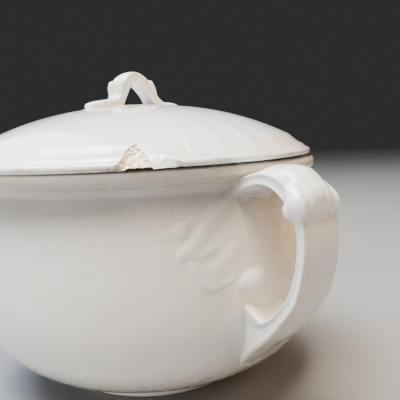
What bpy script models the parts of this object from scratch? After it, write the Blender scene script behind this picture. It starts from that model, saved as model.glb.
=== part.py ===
"""A lidded chamber pot of glazed earthenware: a bellied bowl with one strap handle, and a domed lid
with an arch handle.

Metres, +Z up, standing on its foot ring. +X points from the bowl through the strap handle, and the
arch handle lies along Y. The origin is under the middle of the whole object's box, so the bowl's own
axis stands a little to -X of it. The lid lies loose on the rim, pushed to one side of its play, and
lifts off along +Z.
"""

import math

import bmesh
import bpy
from mathutils import Vector

MM = 0.001

# The bowl, as radii from its own axis and heights above the table.
BELLY_RADIUS = 117.0 * MM
BELLY_HEIGHT = 78.0 * MM
BELLY_POWER = 2.6
NECK_RADIUS = 109.8 * MM
NECK_HEIGHT = 130.0 * MM
RIM_HEIGHT = 146.6 * MM
RIM_BEAD = (3.2 * MM, 4.5 * MM)
RIM_CENTRE_RADIUS = 112.9 * MM
RIM_LAND_RADIUS = 109.0 * MM
WALL = 6.0 * MM
NECK_WALL = 5.5 * MM
FOOT_RADIUS = 59.0 * MM
FOOT_WIDTH = 5.0 * MM
FOOT_HEIGHT = 4.6 * MM
FOOT_RECESS = 3.2 * MM
FLOOR_HEIGHT = 9.5 * MM

# Where round the belly's superellipse the outer line leaves the foot, and the inner line the floor.
FOOT_ANGLE = math.radians(27.0)
FLOOR_ANGLE = math.radians(4.0)

# The lid, as radii from its own axis.
LID_RADIUS = 120.0 * MM
SHOULDER_RADIUS = 106.0 * MM
SHOULDER_HEIGHT = 160.3 * MM
DOME_RISE = 24.4 * MM
DOME_POWER = 2.35
LID_WALL = 5.9 * MM
EDGE_BEAD = 2.2 * MM
SEAT_HEIGHT = 147.0 * MM
FLANGE_RADIUS = 97.5 * MM
FLANGE_WIDTH = 4.0 * MM
FLANGE_DEPTH = 7.8 * MM

# The lid's play inside the mouth, all taken up to one side, and the arch handle's place on the lid.
LID_SHIFT = Vector((-2.0 * MM, -6.9 * MM, 0.0))
ARCH_SHIFT = Vector((0.0, 1.2 * MM, 0.0))

# The strap handle reaches this far from the bowl's axis.
HANDLE_REACH = 160.6 * MM

# The object's box runs from the lid's -X edge to the handle's outer face, and in Y from the lid's -Y
# edge to the belly's +Y side. The bowl's axis is placed so that the box is centred on the origin.
BOX_LOW_X = LID_SHIFT.x - LID_RADIUS
BOX_LOW_Y = LID_SHIFT.y - LID_RADIUS
BOWL_AXIS = Vector((-(BOX_LOW_X + HANDLE_REACH) / 2, -(BOX_LOW_Y + BELLY_RADIUS) / 2, 0.0))
LID_AXIS = BOWL_AXIS + LID_SHIFT

JOINT_GAP = 0.3 * MM

SEGMENTS = 48
SHARP_ANGLE = math.radians(40.0)

# A handle's section is a superellipse of this power: an oblong with rounded corners.
SECTION_POWER = 5.0

# Stations of the strap handle, top to bottom. Each is a pair of points, one on its outer face and one
# on its inner face, as (reach from the bowl's axis, height), and the strap's half width there.
STRAP_STATIONS = [
    ((100.0, 139.0), (100.0, 121.0), 15.0),
    ((110.5, 139.2), (108.0, 126.0), 14.5),
    ((122.0, 141.6), (118.0, 132.8), 13.5),
    ((134.0, 143.7), (129.0, 135.3), 13.5),
    ((144.5, 141.6), (139.0, 133.8), 14.2),
    ((153.6, 134.0), (147.0, 128.5), 15.6),
    ((158.9, 123.5), (153.0, 119.0), 15.6),
    ((159.1, 111.5), (154.8, 109.0), 13.5),
    ((158.0, 99.0), (153.9, 98.5), 13.5),
    ((154.2, 87.0), (150.2, 87.5), 13.5),
    ((148.6, 75.8), (144.0, 76.5), 13.5),
    ((139.5, 64.3), (137.0, 66.2), 13.5),
    ((128.0, 52.3), (128.5, 60.8), 13.8),
    ((117.0, 42.3), (119.5, 60.0), 14.0),
    ((108.0, 34.0), (113.5, 63.5), 14.2),
    ((99.0, 26.0), (106.0, 70.0), 14.2),
]
STRAP_CROWN = 2.0 * MM
STRAP_BULGE = 2.6 * MM

# Stations of half the arch handle, from the tip of one foot to the crest, as (distance along Y from
# the lid's axis, height) and the half width.
ARCH_STATIONS = [
    ((36.0, 182.9), (36.0, 176.0), 4.5),
    ((32.5, 185.2), (32.0, 176.0), 8.5),
    ((26.5, 187.0), (26.0, 176.0), 10.5),
    ((19.5, 188.1), (18.0, 176.5), 10.5),
    ((15.2, 190.8), (12.0, 181.5), 9.8),
    ((14.4, 196.0), (9.4, 188.6), 9.4),
    ((12.0, 199.9), (7.0, 193.6), 9.1),
    ((6.4, 204.6), (4.0, 198.2), 8.7),
    ((0.0, 206.8), (0.0, 200.2), 8.4),
]
ARCH_CROWN = 0.8 * MM
ARCH_BULGE = 2.4 * MM

# A flake missing from the lid's rim: its bearing from the lid's axis, measured from the strap handle,
# its half sizes in from the edge, round the rim and upright, and the height of its middle.
CHIP_BEARING = math.radians(-28.5)
CHIP_SIZE = Vector((4.0 * MM, 17.0 * MM, 6.5 * MM))
CHIP_HEIGHT = 149.2 * MM


def clear_scene():
    for old in list(bpy.data.objects):
        bpy.data.objects.remove(old)


def glaze(name, colour, roughness):
    """A Principled material for glazed ware."""
    material = bpy.data.materials.new(name)
    material.use_nodes = True
    shader = material.node_tree.nodes["Principled BSDF"]
    shader.inputs["Base Color"].default_value = (*colour, 1.0)
    shader.inputs["Roughness"].default_value = roughness
    shader.inputs["Metallic"].default_value = 0.0
    return material


def add_object(name, mesh, place, material=None):
    made = bpy.data.objects.new(name, mesh)
    made.location = place
    bpy.context.scene.collection.objects.link(made)
    if material:
        mesh.materials.append(material)
    return made


def arc(centre, wide, high, start, end, steps):
    """Points on an oval arc in the (radius, height) half plane, with its angles in degrees."""
    angles = [math.radians(start + (end - start) * i / steps) for i in range(steps + 1)]
    return [(centre[0] + wide * math.cos(a), centre[1] + high * math.sin(a)) for a in angles]


def spline(points, steps):
    """A Catmull-Rom curve through points of any dimension, with steps samples to each span."""
    first = [2 * a - b for a, b in zip(points[0], points[1])]
    last = [2 * a - b for a, b in zip(points[-1], points[-2])]
    padded = [first, *points, last]
    curve = []
    for span in range(len(points) - 1):
        p0, p1, p2, p3 = padded[span : span + 4]
        for i in range(steps):
            t = i / steps
            curve.append(
                tuple(
                    b + 0.5 * t * (c - a + t * (2 * a - 5 * b + 4 * c - d + t * (3 * (b - c) + d - a)))
                    for a, b, c, d in zip(p0, p1, p2, p3)
                )
            )
    curve.append(tuple(points[-1]))
    return curve


def turned(name, profile):
    """A solid of revolution about Z. The profile is an open line that starts and ends on the axis."""
    shape = bmesh.new()
    verts = [shape.verts.new((radius, 0.0, height)) for radius, height in profile]
    edges = [shape.edges.new(pair) for pair in zip(verts, verts[1:])]
    bmesh.ops.spin(
        shape,
        geom=verts + edges,
        cent=(0, 0, 0),
        axis=(0, 0, 1),
        angle=math.tau,
        steps=SEGMENTS,
        use_merge=True,
    )
    bmesh.ops.remove_doubles(shape, verts=shape.verts, dist=0.001 * MM)
    bmesh.ops.recalc_face_normals(shape, faces=shape.faces)
    mesh = bpy.data.meshes.new(name)
    shape.to_mesh(mesh)
    shape.free()
    mesh.shade_smooth()
    mesh.set_sharp_from_angle(angle=SHARP_ANGLE)
    return mesh


def belly(radius, low, foot_angle, steps):
    """The lower bowl as a superellipse quadrant, from near its bottom out to the widest point."""
    bend = 2 / BELLY_POWER
    rise = BELLY_HEIGHT - low
    angles = [foot_angle + (math.pi / 2 - foot_angle) * i / steps for i in range(steps + 1)]
    return [(radius * math.sin(a) ** bend, BELLY_HEIGHT - rise * math.cos(a) ** bend) for a in angles]


def shoulder(widest, narrowest, steps):
    """The upper bowl, drawing in from the widest point to the neck."""
    span = NECK_HEIGHT - BELLY_HEIGHT
    return [
        (widest - (widest - narrowest) * (i / steps) ** 2, BELLY_HEIGHT + span * i / steps)
        for i in range(1, steps + 1)
    ]


def bowl_outside():
    """The bowl's outer line, from the foot ring up to the top of the rim bead."""
    wide, high = RIM_BEAD
    bead_centre = (RIM_CENTRE_RADIUS, RIM_HEIGHT - high)
    neck = [
        (NECK_RADIUS + 0.5 * MM, NECK_HEIGHT + 3.8 * MM),
        (NECK_RADIUS + 1.9 * MM, NECK_HEIGHT + 6.8 * MM),
    ]
    lower = belly(BELLY_RADIUS, 0.0, FOOT_ANGLE, steps=9)
    upper = shoulder(BELLY_RADIUS, NECK_RADIUS, steps=5)
    return lower + upper + neck + arc(bead_centre, wide, high, -65, 90, steps=7)


def bowl_inside():
    """The bowl's inner line, from the rim's flat land down to the middle of the floor."""
    lip = [
        (RIM_LAND_RADIUS, RIM_HEIGHT),
        (RIM_LAND_RADIUS - 1.8 * MM, RIM_HEIGHT - 1.6 * MM),
        (RIM_LAND_RADIUS - 3.4 * MM, RIM_HEIGHT - 6.5 * MM),
    ]
    inner_belly = BELLY_RADIUS - WALL
    inner_neck = NECK_RADIUS - NECK_WALL
    upper = shoulder(inner_belly, inner_neck, steps=4)
    lower = belly(inner_belly, FLOOR_HEIGHT, FLOOR_ANGLE, steps=9)
    return lip + list(reversed(lower + upper)) + [(0.0, FLOOR_HEIGHT)]


def make_bowl(material):
    foot_inside = FOOT_RADIUS - FOOT_WIDTH
    foot = [
        (0.0, FOOT_RECESS),
        (foot_inside - 1.5 * MM, FOOT_RECESS),
        (foot_inside, 0.0),
        (FOOT_RADIUS - 0.8 * MM, 0.0),
        (FOOT_RADIUS, 0.8 * MM),
        (FOOT_RADIUS - 0.6 * MM, FOOT_HEIGHT),
    ]
    mesh = turned("pot_body", foot + bowl_outside() + bowl_inside())
    return add_object("pot_body", mesh, BOWL_AXIS, material)


def dome_height(radius):
    return SHOULDER_HEIGHT + DOME_RISE * (1 - (radius / SHOULDER_RADIUS) ** DOME_POWER)


def dome_line(edge, drop, steps):
    """The dome's curve, from the axis out to the edge radius, lowered by drop."""
    radii = [edge * i / steps for i in range(steps + 1)]
    return [(radius, dome_height(radius) - drop) for radius in radii]


def lid_outside():
    """The lid's outer line, from its top down over the cove and its low ridge to the seat."""
    cove = [
        (SHOULDER_RADIUS + 1.5 * MM, SHOULDER_HEIGHT - 1.2 * MM),
        (SHOULDER_RADIUS + 4.6 * MM, SHOULDER_HEIGHT - 3.9 * MM),
        (SHOULDER_RADIUS + 7.2 * MM, SHOULDER_HEIGHT - 5.7 * MM),
        (SHOULDER_RADIUS + 9.2 * MM, SHOULDER_HEIGHT - 6.7 * MM),
        (SHOULDER_RADIUS + 11.2 * MM, SHOULDER_HEIGHT - 8.5 * MM),
    ]
    edge_centre = (LID_RADIUS - EDGE_BEAD, SEAT_HEIGHT + EDGE_BEAD)
    edge_bead = arc(edge_centre, EDGE_BEAD, EDGE_BEAD, 58, -90, steps=6)
    return dome_line(SHOULDER_RADIUS, 0.0, steps=8) + cove + edge_bead


def make_lid(material):
    flange_inside = FLANGE_RADIUS - FLANGE_WIDTH
    flange_low = SEAT_HEIGHT - FLANGE_DEPTH
    underside = [
        (FLANGE_RADIUS + 1.0 * MM, SEAT_HEIGHT),
        (FLANGE_RADIUS, SEAT_HEIGHT - 1.0 * MM),
        (FLANGE_RADIUS - 0.4 * MM, flange_low + 1.2 * MM),
        (FLANGE_RADIUS - 1.2 * MM, flange_low),
        (flange_inside + 1.0 * MM, flange_low),
        (flange_inside, flange_low + 1.2 * MM),
        (flange_inside - 1.0 * MM, SEAT_HEIGHT + 6.6 * MM),
        (flange_inside - 5.0 * MM, SEAT_HEIGHT + 13.6 * MM),
    ]
    inside = list(reversed(dome_line(flange_inside - 12.0 * MM, LID_WALL, steps=5)))
    mesh = turned("lid_dome", lid_outside() + underside + inside)
    lid = add_object("lid_dome", mesh, LID_AXIS, material)
    cut(lid, chip_cutter())
    return lid


def chip_cutter():
    """A lump, longer than high, set on the lid's edge where a bite of it is missing."""
    shape = bmesh.new()
    bmesh.ops.create_icosphere(shape, subdivisions=2, radius=1.0)
    bmesh.ops.scale(shape, vec=CHIP_SIZE, verts=shape.verts)
    mesh = bpy.data.meshes.new("chip")
    shape.to_mesh(mesh)
    shape.free()
    edge = LID_RADIUS + 0.6 * MM
    offset = Vector((edge * math.cos(CHIP_BEARING), edge * math.sin(CHIP_BEARING), CHIP_HEIGHT))
    lump = add_object("chip_cutter", mesh, LID_AXIS + offset)
    lump.rotation_euler.z = CHIP_BEARING
    return lump


def hide_cutter(cutter):
    cutter.hide_render = True
    cutter.display_type = "WIRE"


def cut(target, cutter):
    hide_cutter(cutter)
    boolean = target.modifiers.new("cut_" + cutter.name, "BOOLEAN")
    boolean.operation = "DIFFERENCE"
    boolean.solver = "EXACT"
    boolean.object = cutter


def bowl_cutter():
    """The bowl's filled outer form, grown by the joint gap, which fits a handle's ends to it."""
    grown = [(radius + JOINT_GAP, height) for radius, height in bowl_outside()]
    top = RIM_HEIGHT + 5.0 * MM
    closed = [(0.0, grown[0][1]), *grown, (RIM_CENTRE_RADIUS, top), (0.0, top)]
    return add_object("bowl_cutter", turned("bowl_cutter", closed), BOWL_AXIS)


def dome_cutter():
    """The dome's filled form, raised by the joint gap, which fits the arch handle's feet to it."""
    line = dome_line(SHOULDER_RADIUS, -JOINT_GAP, steps=8)
    low = SHOULDER_HEIGHT - 30.0 * MM
    closed = [*line, (SHOULDER_RADIUS, low), (0.0, low)]
    return add_object("dome_cutter", turned("dome_cutter", closed), LID_AXIS)


def section(outer, inner, half_width, crown, bulge, count=16):
    """One cross-section of a handle: a rounded oblong whose outer face is gently crowned and whose
    inner face bulges. Returns (reach, across, height) points."""
    corner = 2 / SECTION_POWER
    middle = (outer + inner) / 2
    half = (outer - inner) / 2
    outward = half.normalized()
    points = []
    for i in range(count):
        angle = math.tau * (i + 0.5) / count
        across = math.copysign(abs(math.cos(angle)) ** corner, math.cos(angle))
        along = math.copysign(abs(math.sin(angle)) ** corner, math.sin(angle))
        swell = (crown if along > 0 else bulge) * (1 - across**2) * along
        point = middle + half * along + outward * swell
        points.append((point.x, across * half_width, point.y))
    return points


def loft(name, stations, crown, bulge, steps=2):
    """A handle's solid through its stations, with its plane across the local Y axis."""
    rows = [(*outer, *inner, width) for outer, inner, width in stations]
    shape = bmesh.new()
    rings = []
    for ox, oz, ix, iz, width in spline(rows, steps):
        outer, inner = Vector((ox, oz)) * MM, Vector((ix, iz)) * MM
        points = section(outer, inner, width * MM, crown, bulge)
        rings.append([shape.verts.new(point) for point in points])
    for ring, following in zip(rings, rings[1:]):
        for i in range(len(ring)):
            j = (i + 1) % len(ring)
            shape.faces.new((ring[i], ring[j], following[j], following[i]))
    shape.faces.new(rings[0])
    shape.faces.new(rings[-1])
    bmesh.ops.recalc_face_normals(shape, faces=shape.faces)
    mesh = bpy.data.meshes.new(name)
    shape.to_mesh(mesh)
    shape.free()
    mesh.shade_smooth()
    mesh.set_sharp_from_angle(angle=SHARP_ANGLE)
    return mesh


def make_strap(material):
    mesh = loft("pot_handle", STRAP_STATIONS, STRAP_CROWN, STRAP_BULGE)
    strap = add_object("pot_handle", mesh, BOWL_AXIS, material)
    cut(strap, bowl_cutter())
    return strap


def make_arch(material):
    mirrored = [
        ((-outer[0], outer[1]), (-inner[0], inner[1]), width)
        for outer, inner, width in reversed(ARCH_STATIONS[:-1])
    ]
    mesh = loft("lid_handle", ARCH_STATIONS + mirrored, ARCH_CROWN, ARCH_BULGE)
    arch = add_object("lid_handle", mesh, LID_AXIS + ARCH_SHIFT, material)
    arch.rotation_euler.z = math.radians(90)
    cut(arch, dome_cutter())
    return arch


clear_scene()
make_bowl(glaze("pot_glaze", (0.82, 0.80, 0.76), 0.18))
make_strap(glaze("pot_handle_glaze", (0.84, 0.82, 0.79), 0.15))
make_lid(glaze("lid_glaze", (0.86, 0.85, 0.83), 0.15))
make_arch(glaze("lid_handle_glaze", (0.86, 0.83, 0.78), 0.15))
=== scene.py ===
"""The looks of a lidded chamber pot: white glazed earthenware with moulded handles, a soft leaf relief
on its side, a flake missing from the lid's rim, and the stains and fine crazing of age.

Everything is in metres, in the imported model's frame: +Z up, +X through the strap handle.
"""

import math

import bpy
import numpy as np
from mathutils import Matrix, Vector


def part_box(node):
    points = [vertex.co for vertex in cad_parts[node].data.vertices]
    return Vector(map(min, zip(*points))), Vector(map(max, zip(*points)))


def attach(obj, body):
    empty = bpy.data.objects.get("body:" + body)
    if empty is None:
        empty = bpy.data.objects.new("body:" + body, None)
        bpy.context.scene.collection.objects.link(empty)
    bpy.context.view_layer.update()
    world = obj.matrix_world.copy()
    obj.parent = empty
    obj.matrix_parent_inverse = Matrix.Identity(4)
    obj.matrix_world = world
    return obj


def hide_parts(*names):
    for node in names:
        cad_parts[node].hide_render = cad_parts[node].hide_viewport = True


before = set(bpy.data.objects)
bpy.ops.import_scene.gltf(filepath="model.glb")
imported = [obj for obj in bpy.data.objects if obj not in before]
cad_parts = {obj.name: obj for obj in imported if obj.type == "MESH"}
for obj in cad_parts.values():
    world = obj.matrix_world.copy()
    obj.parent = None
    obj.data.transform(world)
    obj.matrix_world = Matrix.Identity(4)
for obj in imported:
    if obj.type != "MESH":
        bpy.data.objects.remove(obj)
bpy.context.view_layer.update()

MM = 0.001
TAU = math.tau


def axis_of(node):
    """The upright axis of a turned CAD node, as the middle of its box."""
    low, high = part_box(node)
    return np.array([(low.x + high.x) / 2, (low.y + high.y) / 2, 0.0])


BOWL_AXIS = axis_of("pot_body")
LID_AXIS = axis_of("lid_dome")
ARCH_AXIS = axis_of("lid_handle")

# The bowl in millimetres, as radii from its own axis and heights above the table.
BELLY_RADIUS = 117.0
BELLY_HEIGHT = 78.0
BELLY_POWER = 2.6
NECK_RADIUS = 109.8
NECK_HEIGHT = 130.0
RIM_HEIGHT = 146.6
RIM_BEAD = (3.2, 4.5)
RIM_CENTRE_RADIUS = 112.9
WALL = 6.0
FLOOR_HEIGHT = 9.5
LIP_RADIUS = 104.3
# The leaf spray lies where the bowl is wider than this radius, and fades out between these heights.
SPRAY_RADIUS = 100.0
SPRAY_FADE = (138.0, 140.6)
# The bowl is true at its foot, and uneven above. The unevenness grows between these heights.
UNEVEN_FROM = (8.0, 30.0)
# Painted shade in the neck, under the rim: it grows up the shoulder and fades out on the rim bead, between
# these heights.
NECK_SHADE_RISE = (104.0, 133.0)
NECK_SHADE_FADE = (140.0, 143.6)

# The lid in millimetres, as radii from its own axis.
LID_RADIUS = 120.0
SHOULDER_RADIUS = 106.0
SHOULDER_HEIGHT = 160.3
DOME_RISE = 23.8
DOME_POWER = 2.35
LID_WALL = 5.9
SEAT_HEIGHT = 147.0
FLANGE_RADIUS = 97.5
FLANGE_WIDTH = 4.0
FLANGE_DEPTH = 7.8
EDGE_BEAD = 2.2
# The low oval pad under the arch handle: its half sizes across and along the arch, and its height.
PAD_HALF = (11.6, 37.6)
PAD_RISE = 0.5
# How far the lid's rim is drawn in, on average. It is uneven, and stays within its full radius.
RIM_CLEARANCE = 0.3


# ---------------------------------------------------------------- shape tools

def smoothstep(low, high, value):
    t = np.clip((value - low) / (high - low), 0.0, 1.0)
    return t * t * (3 - 2 * t)


def bell(value, width):
    return np.exp(-((value / width) ** 2))


def spline(points, steps):
    """A Catmull-Rom curve through points of any dimension, as an array of rows."""
    p = np.asarray(points, float)
    p = np.vstack([2 * p[0] - p[1], p, 2 * p[-1] - p[-2]])
    t = (np.arange(steps) / steps)[:, None]
    spans = []
    for a, b, c, d in zip(p, p[1:], p[2:], p[3:]):
        spans.append(b + 0.5 * t * (c - a + t * (2 * a - 5 * b + 4 * c - d + t * (3 * (b - c) + d - a))))
    return np.vstack([*spans, p[-2][None, :]])


def spline_at(points, places):
    """A Catmull-Rom curve through points, read at places counted in points from the first."""
    p = np.asarray(points, float)
    p = np.vstack([2 * p[0] - p[1], p, 2 * p[-1] - p[-2]])
    first = np.clip(np.floor(places).astype(int), 0, len(p) - 4)
    t = (places - first)[:, None]
    a, b, c, d = p[first], p[first + 1], p[first + 2], p[first + 3]
    return b + 0.5 * t * (c - a + t * (2 * a - 5 * b + 4 * c - d + t * (3 * (b - c) + d - a)))


def evenly(line, spacing):
    """The same line with points a given distance apart."""
    steps = np.linalg.norm(np.diff(line, axis=0), axis=1)
    length = np.concatenate([[0.0], np.cumsum(steps)])
    count = max(2, int(round(length[-1] / spacing)) + 1)
    want = np.linspace(0.0, length[-1], count)
    return np.stack([np.interp(want, length, line[:, k]) for k in range(line.shape[1])], axis=1)


def oval(centre, wide, high, start, end, steps):
    """Points on an oval arc, between two angles in degrees."""
    angle = np.radians(np.linspace(start, end, steps + 1))
    return [(centre[0] + wide * math.cos(a), centre[1] + high * math.sin(a)) for a in angle]


def join_lines(*lines):
    """One line from several that meet end to end, without repeating the points where they meet."""
    joined = [np.asarray(lines[0], float)]
    for line in lines[1:]:
        line = np.asarray(line, float)
        near = np.linalg.norm(line[0] - joined[-1][-1]) < 1e-6
        joined.append(line[1:] if near else line)
    return np.vstack(joined)


def bearings(*stretches):
    """Angles round the full circle, in radians, from (start, end, step) stretches in degrees."""
    parts = [np.arange(start, end - step / 4, step) for start, end, step in stretches]
    return np.radians(np.concatenate(parts))


def noise(points, scale, seed):
    """Smooth value noise from -1 to 1 at the given points, as a sum of randomly turned waves."""
    random = np.random.default_rng(seed)
    total = np.zeros(points.shape[:-1])
    waves = 14
    for _ in range(waves):
        direction = random.normal(size=points.shape[-1])
        direction *= random.uniform(0.6, 1.5) / (np.linalg.norm(direction) * scale)
        total += np.sin(TAU * (points @ direction) + random.uniform(0, TAU))
    return total / math.sqrt(waves / 2)


def mesh_piece(name, points, faces, body, node, material):
    """A smooth visual piece that rides on a body and takes the place of a CAD node."""
    mesh = bpy.data.meshes.new(name)
    mesh.from_pydata(points.tolist(), [], faces)
    mesh.validate()
    mesh.materials.append(material)
    mesh.shade_smooth()
    piece = bpy.data.objects.new(name, mesh)
    bpy.context.scene.collection.objects.link(piece)
    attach(piece, body)
    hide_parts(node)
    return piece


def paint(piece, **layers):
    """Point attributes that the piece's material reads, from values at the points of its grid. The two
    points that close the grid's ends get none."""
    for name, values in layers.items():
        attribute = piece.data.attributes.new(name, "FLOAT", "POINT")
        closed = np.concatenate([values.ravel(), [0.0, 0.0]])
        attribute.data.foreach_set("value", closed.astype(np.float32))


def closed_faces(rows, columns):
    """Quads of a grid whose rows close on themselves, and a fan of triangles at each of its ends, to
    the two points that follow the grid's own."""
    faces = []
    for r in range(rows - 1):
        low, high = r * columns, (r + 1) * columns
        for c in range(columns):
            d = (c + 1) % columns
            faces.append((low + c, low + d, high + d, high + c))
    first, last = rows * columns, rows * columns + 1
    top = (rows - 1) * columns
    for c in range(columns):
        d = (c + 1) % columns
        faces.append((first, d, c))
        faces.append((last, top + c, top + d))
    return faces


def grid_normals(points):
    """Unit outward normals of a handle's grid, which wraps along its second axis."""
    along = np.gradient(points, axis=0)
    across = np.roll(points, -1, axis=1) - np.roll(points, 1, axis=1)
    normal = np.cross(across, along)
    return normal / np.maximum(np.linalg.norm(normal, axis=2, keepdims=True), 1e-12)


def turned(line, angles, axis, change):
    """Points and faces of a turned form, and the radius, height and bearing of each grid point.

    The line runs from the axis back to the axis with its outside on the right, in millimetres.
    change(bearing, radius, height, normal) returns new radii and heights."""
    radius, height = line[1:-1, 0], line[1:-1, 1]
    tangent = np.gradient(line, axis=0)[1:-1]
    normal = np.stack([tangent[:, 1], -tangent[:, 0]], axis=1)
    normal /= np.linalg.norm(normal, axis=1, keepdims=True)
    shape = (len(radius), len(angles))
    b = np.broadcast_to(angles[None, :], shape)
    r = np.broadcast_to(radius[:, None], shape).copy()
    z = np.broadcast_to(height[:, None], shape).copy()
    n = np.broadcast_to(normal[:, None, :], (*shape, 2))
    r, z = change(b, r, z, n)
    grid = np.stack([r * np.cos(b), r * np.sin(b), z], axis=2).reshape(-1, 3)
    poles = np.array([[0.0, 0.0, line[0, 1]], [0.0, 0.0, line[-1, 1]]])
    points = np.vstack([grid, poles]) * MM + axis
    return points, closed_faces(*shape), r, z, b


def crest(x, z, path, low, high, height):
    """A soft ridge along a path over the (x, z) plane. It falls off over the distance low on the
    path's right and high on its left, and tapers to nothing at its far end."""
    line = spline(path, 10)
    tangent = np.gradient(line, axis=0)
    best = np.full(x.shape, np.inf)
    side = np.zeros(x.shape)
    place = np.zeros(x.shape)
    for i, ((px, pz), (tx, tz)) in enumerate(zip(line, tangent)):
        dx, dz = x - px, z - pz
        distance = np.hypot(dx, dz)
        closer = distance < best
        best = np.where(closer, distance, best)
        side = np.where(closer, np.sign(tx * dz - tz * dx), side)
        place = np.where(closer, i / (len(line) - 1), place)
    reach = np.where(side > 0, high, low) * (1.0 - 0.45 * place**2)
    fall = np.clip(1.0 - (best / reach) ** 2, 0.0, 1.0) ** 2
    return height * (1.0 - 0.35 * place**3) * fall


# ---------------------------------------------------------------- the bowl

def belly(radius, low, first_angle, steps):
    """The bowl's outline from near its foot up to its widest, as a flattened oval."""
    bend = 2 / BELLY_POWER
    rise = BELLY_HEIGHT - low
    angle = np.linspace(math.radians(first_angle), math.pi / 2, steps + 1)
    return np.stack([radius * np.sin(angle) ** bend, BELLY_HEIGHT - rise * np.cos(angle) ** bend], axis=1)


def shoulder(widest, narrowest, steps):
    """The bowl's outline from its widest up to its neck."""
    t = np.linspace(0.0, 1.0, steps + 1)
    height = BELLY_HEIGHT + (NECK_HEIGHT - BELLY_HEIGHT) * t
    return np.stack([widest - (widest - narrowest) * t**2, height], axis=1)


def bowl_profile():
    """Heights and outer radii of the bowl, from its foot up to its neck."""
    lower = belly(BELLY_RADIUS, 0.0, 15.0, 80)
    upper = shoulder(BELLY_RADIUS, NECK_RADIUS, 30)
    line = np.vstack([lower[:-1], upper, [[110.2, 134.3], [111.6, 137.0], [114.0, 138.6]]])
    return line[:, 1], line[:, 0]


def bowl_line():
    """The bowl's profile, from its underside on the axis up its outside and down its inside."""
    foot = [
        (0.0, 3.2), (30.0, 3.3), (50.0, 3.0), (52.6, 2.4), (53.6, 1.2), (54.4, 0.25), (55.4, 0.0),
        (57.4, 0.0), (58.5, 0.4), (58.9, 1.2), (58.8, 2.6), (58.3, 3.9), (58.9, 4.9),
    ]
    lower = belly(BELLY_RADIUS, 0.0, 28.5, 60)
    upper = shoulder(BELLY_RADIUS, NECK_RADIUS, 30)[:-2]
    bead = oval((RIM_CENTRE_RADIUS, RIM_HEIGHT - RIM_BEAD[1]), *RIM_BEAD, -56, 88, 14)
    neck = [(110.0, 131.0), (109.9, 133.2), (110.7, 135.8), (112.4, 137.5)]
    outside = join_lines(upper, neck, bead)
    lip = [
        (109.8, 146.5), (108.2, 145.7), (107.0, 143.4), (105.9, 139.8), (104.9, 135.4), (LIP_RADIUS, 131.0),
    ]
    inner_belly = BELLY_RADIUS - WALL
    inner_upper = shoulder(inner_belly, LIP_RADIUS, 12)[::-1][1:]
    inner_lower = belly(inner_belly, FLOOR_HEIGHT, 3.0, 26)[::-1]
    inside = join_lines(inner_upper, inner_lower, [(0.0, FLOOR_HEIGHT)])
    return join_lines(
        evenly(spline(foot, 8), 0.9),
        evenly(lower, 1.25)[1:],
        evenly(spline(outside, 4), 0.95),
        evenly(spline(lip, 6), 1.1),
        evenly(inside, 3.2),
    )


# The leaf spray, on the unrolled bowl: millimetres round from the strap handle's plane, and height.
# Every form is mirrored to the handle's other side. A crest falls off over the first distance on its
# path's right and over the second on its left.
CRESTS = [
    # path, fall on its right, fall on its left, height
    ([(-14.0, 131.5), (-21.5, 127.0), (-29.8, 120.0), (-36.0, 114.0), (-41.3, 107.0), (-50.0, 101.3)],
     6.0, 10.0, 1.15),
    ([(-32.0, 102.5), (-37.5, 100.4), (-44.0, 100.0), (-51.5, 100.6)], 7.0, 3.0, 0.5),
    ([(-19.5, 101.5), (-25.5, 96.5), (-31.4, 92.5), (-37.0, 92.0), (-43.0, 93.4)], 4.5, 7.0, 0.55),
    ([(-44.0, 93.0), (-41.6, 87.4), (-37.6, 83.0), (-31.0, 81.9), (-22.0, 85.0)], 2.8, 6.5, 0.65),
    ([(-36.0, 118.6), (-43.0, 118.2), (-48.5, 115.0)], 3.5, 4.0, 0.45),
    ([(-12.0, 122.0), (-9.6, 112.0), (-8.8, 101.0)], 2.4, 3.4, 0.35),
]
BOSSES = [
    # middle, half length, half width, tilt in degrees, height, how full its top is
    ((-48.9, 113.9), 5.2, 4.4, -20.0, 1.15, 1.0),
    ((-56.4, 111.8), 3.2, 2.8, 0.0, 0.45, 1.0),
    ((-32.5, 89.0), 11.0, 8.0, 30.0, 0.6, 1.0),
]
# The whole spray lies within this distance round from the handle's plane and between these heights.
SPRAY_REACH = 75.0
SPRAY_HEIGHTS = (60.0, 140.0)
# One rounder boss, at the root of the spray, that stands on the -Y side only.
ROOT_BOSS = ((-8.4, 83.2), 10.8, 6.3, 14.0, 4.2, 0.75)


def boss(x, z, middle, length, width, tilt, height, power):
    """A rounded boss with a sharper lower edge."""
    turn = math.radians(tilt)
    dx, dz = x - middle[0], z - middle[1]
    along = (dx * math.cos(turn) + dz * math.sin(turn)) / length
    across = (-dx * math.sin(turn) + dz * math.cos(turn)) / width
    across = across + 0.10 * (1 - across**2)
    return height * np.clip(1.0 - along**2 - across**2, 0.0, 1.0) ** power


def spray_relief(bearing, height):
    """How far the leaf spray stands out from the bowl, in millimetres."""
    turn = (bearing + math.pi) % TAU - math.pi
    x = -np.abs(turn) * BELLY_RADIUS
    near = (x > -SPRAY_REACH) & (height > SPRAY_HEIGHTS[0]) & (height < SPRAY_HEIGHTS[1])
    relief = np.zeros(x.shape)
    xs, zs = x[near], height[near]
    forms = [crest(xs, zs, *form) for form in CRESTS] + [boss(xs, zs, *form) for form in BOSSES]
    forms.append(boss(turn[near] * BELLY_RADIUS, zs, *ROOT_BOSS))
    relief[near] = np.sqrt(sum(form**2 for form in forms))
    return relief


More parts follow.
